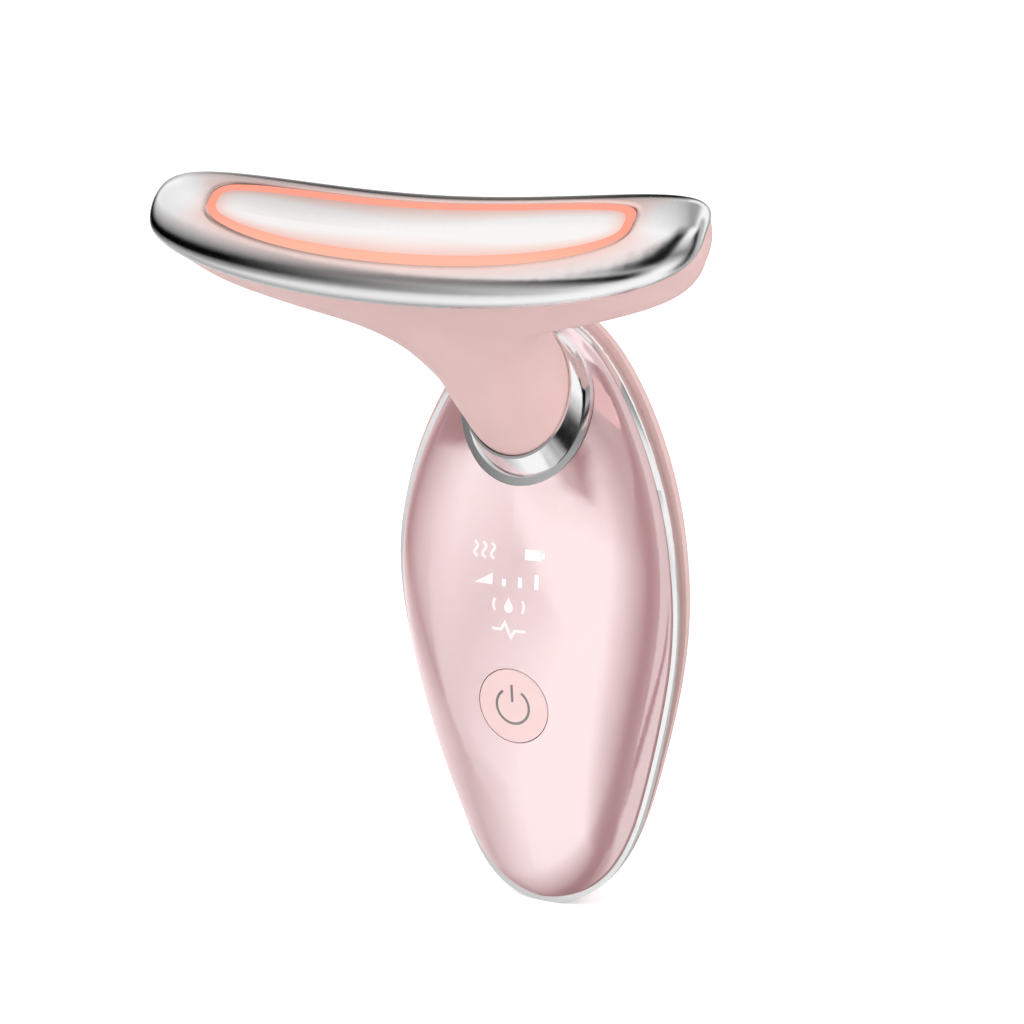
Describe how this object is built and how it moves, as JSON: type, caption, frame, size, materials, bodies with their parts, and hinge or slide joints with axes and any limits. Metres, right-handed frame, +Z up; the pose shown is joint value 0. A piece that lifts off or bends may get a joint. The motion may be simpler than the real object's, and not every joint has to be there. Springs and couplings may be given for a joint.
{
  "type": "facial toning device",
  "caption": "Hand-held facial toning wand: long bent metal treatment head with a lit ring, on a slanting neck and a flat teardrop handle with a power button.",
  "frame": {"origin": "centre of the flat seat round the charging port, on the back of the handle's lower end", "axes": "+Z up the handle towards the head, +X to the right seen from the button side, +Y out of the charging port to the back"},
  "size_m": [0.088, 0.0461, 0.1164],
  "materials": {
    "gloss_pink": "high gloss pale pink",
    "satin_pink": "satin pink",
    "button_pink": "satin pale pink",
    "mirror_chrome": "mirror chrome",
    "warm_metal": "polished, warm white",
    "glow_ring": "translucent, lit red from inside",
    "foil_grey": "thin metal foil",
    "icon_white": "translucent, lit from behind",
    "diffuser": "milky film",
    "baffle_white": "moulded, satin",
    "board_green": "solder mask over glass fibre",
    "chip_black": "moulded resin",
    "lamp": "lamp body",
    "steel": "zinc plated",
    "shaft_steel": "ground",
    "gold_contact": "gold plated",
    "tungsten": "sintered heavy metal",
    "cell_silver": "laminate pouch",
    "foam_grey": "closed foam",
    "rubber_black": "soft rubber",
    "film_amber": "polyimide film",
    "wire_skin": "wire insulation",
    "connector_black": "moulded"
  },
  "bodies": {
    "wand": {"front_cover": "gloss_pink", "rear_cover": "satin_pink", "head_shell": "satin_pink", "trim_ring": "mirror_chrome", "collar_ring": "mirror_chrome", "treatment_plate": "mirror_chrome", "centre_plate": "warm_metal", "light_ring": "glow_ring", "display_icons": "icon_white", "display_diffuser": "diffuser", "display_baffle": "baffle_white", "display_leds": "lamp", "head_leds": "lamp", "main_board": "board_green", "head_board": "board_green", "charge_board": "board_green", "board_components": "chip_black", "tact_switch": "connector_black", "board_screws": "steel", "head_board_screws": "steel", "charge_screws": "steel", "clamp_screws": "steel", "neck_clamp": "steel", "trim_contact": "gold_contact", "contact_pins": "gold_contact", "battery": "cell_silver", "battery_pad": "foam_grey", "battery_leads": "wire_skin", "charge_leads": "wire_skin", "head_harness": "wire_skin", "usb_shell": "steel", "usb_tongue": "connector_black", "plate_gasket": "rubber_black", "heater_film": "film_amber", "thermistor": "chip_black", "motor_can": "steel", "motor_sleeve": "rubber_black"},
    "button": {"power_button": "button_pink", "power_symbol": "foil_grey"},
    "plunger": {"switch_plunger": "connector_black"},
    "rotor": {"motor_shaft": "shaft_steel", "motor_weight": "tungsten"}
  },
  "joints": [
    {"name": "button_press", "type": "slide", "parent": "wand", "child": "button", "axis": [0, 1, 0], "range_m": [0, 0.0004], "stiffness_N_per_m": 1500, "springref_m": -0.0003},
    {"name": "switch_travel", "type": "slide", "parent": "wand", "child": "plunger", "axis": [0, 1, 0], "range_m": [0, 0.0004]},
    {"name": "motor_spin", "type": "hinge", "parent": "wand", "child": "rotor", "pos_m": [0, -0.03012, 0.08736], "axis": [1, 0, 0], "continuous": true}
  ],
  "couplings": [
    {"joint": "switch_travel", "follows": "button_press", "ratio": 1}
  ]
}
